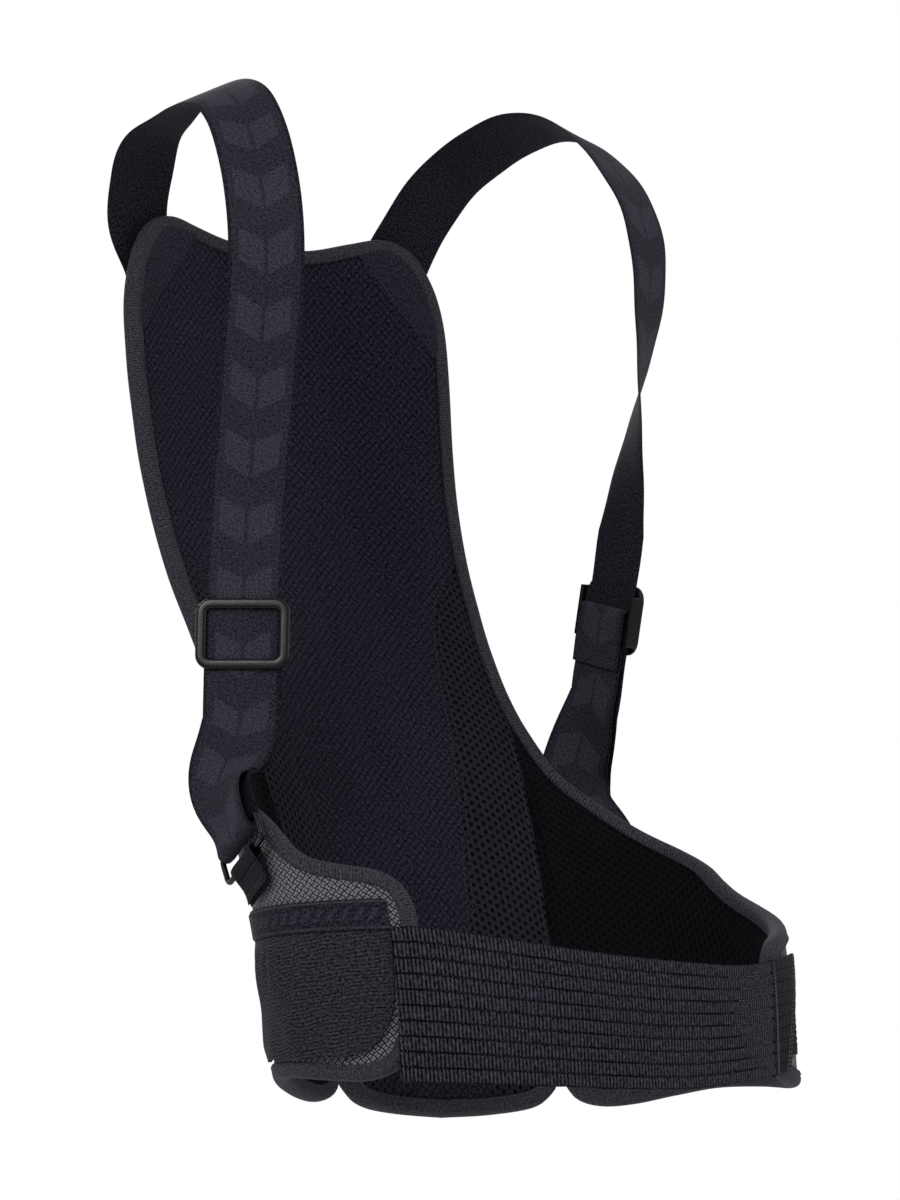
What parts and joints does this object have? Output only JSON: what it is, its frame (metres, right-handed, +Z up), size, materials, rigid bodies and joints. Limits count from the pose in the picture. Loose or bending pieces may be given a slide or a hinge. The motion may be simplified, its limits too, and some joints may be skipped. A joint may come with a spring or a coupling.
{
  "type": "motorcycle back protector",
  "caption": "Padded spine protector worn as a harness, with webbing shoulder straps, sliding adjusters, padded waist wings with pockets and a wide elastic belt that closes with a hook tab.",
  "frame": {"origin": "centre of the wearer's waist, on the body's upright axis, at the height of the lower edge of the spine panel", "axes": "+Z up the wearer's body, the wearer faces -Y with the spine panel at +Y, and +X is the wearer's left"},
  "size_m": [0.3579, 0.4113, 0.6285],
  "materials": {
    "cover": "woven polyester, matte",
    "liner": "brushed knit, matte, embossed with small diamonds",
    "mesh": "open spacer mesh, matte",
    "weave": "basket weave, faint sheen",
    "pocket": "ribbed stretch fabric",
    "hem": "elastic band, woven pattern",
    "binding": "folded woven tape, stitched",
    "webbing": "elastic webbing, tone-on-tone pattern",
    "belt": "ribbed elastic, rows of light stitching",
    "hook": "hook and loop pile",
    "foam": "matte closed-cell foam",
    "plastic": "moulded, glossy black"
  },
  "bodies": {
    "harness": {"belt_anchor": "belt", "binding_flank_left": "binding", "binding_flank_right": "binding", "binding_hem_left": "binding", "binding_hem_right": "binding", "binding_tail": "binding", "binding_top": "binding", "centre_liner": "liner", "corner_patch_left": "liner", "corner_patch_right": "liner", "foam_insert": "foam", "loop_panel": "hook", "outer_cover": "cover", "pocket_body_left": "pocket", "pocket_body_right": "pocket", "pocket_hem_left": "hem", "pocket_hem_right": "hem", "ring_tab_left": "webbing", "ring_tab_right": "webbing", "side_mesh_left": "mesh", "side_mesh_right": "mesh", "strap_anchor_left": "liner", "strap_anchor_right": "liner", "strap_left": "webbing", "strap_right": "webbing", "wing_foam_left": "foam", "wing_foam_right": "foam", "wing_lining_left": "mesh", "wing_lining_right": "mesh", "wing_shell_left": "weave", "wing_shell_right": "weave"},
    "belt": {"belt_elastic": "belt"},
    "belt_end": {"belt_tab": "hem", "hook_pad": "hook"},
    "adjuster_left": {"slider_left": "plastic", "strap_loop_left": "webbing"},
    "adjuster_right": {"slider_right": "plastic", "strap_loop_right": "webbing"},
    "strap_ring_left": {"ring_left": "plastic"},
    "strap_ring_right": {"ring_right": "plastic"}
  },
  "joints": [
    {"name": "belt_swing", "type": "hinge", "parent": "harness", "child": "belt", "pos_m": [-0.13637, -0.07581, 0.05514], "axis": [0.004, -0.1126, -0.9936], "range_deg": [0, 75]},
    {"name": "belt_end_peel", "type": "hinge", "parent": "belt", "child": "belt_end", "pos_m": [0.10235, -0.09804, 0.0517], "axis": [-0.0043, -0.0748, -0.9972], "range_deg": [0, 60]},
    {"name": "adjuster_slide_left", "type": "slide", "parent": "harness", "child": "adjuster_left", "axis": [0, 0.2425, -0.9701], "range_m": [-0.015, 0.013]},
    {"name": "adjuster_slide_right", "type": "slide", "parent": "harness", "child": "adjuster_right", "axis": [-0.0843, -0.0952, -0.9919], "range_m": [-0.015, 0.013]},
    {"name": "ring_tilt_left", "type": "hinge", "parent": "harness", "child": "strap_ring_left", "pos_m": [0.13537, 0.10239, 0.13607], "axis": [-0.7951, 0.5476, -0.2607], "range_deg": [-5, 5]},
    {"name": "ring_tilt_right", "type": "hinge", "parent": "harness", "child": "strap_ring_right", "pos_m": [-0.17641, 0.03388, 0.13999], "axis": [-0.1409, -0.8764, 0.4605], "range_deg": [-5, 5]}
  ]
}
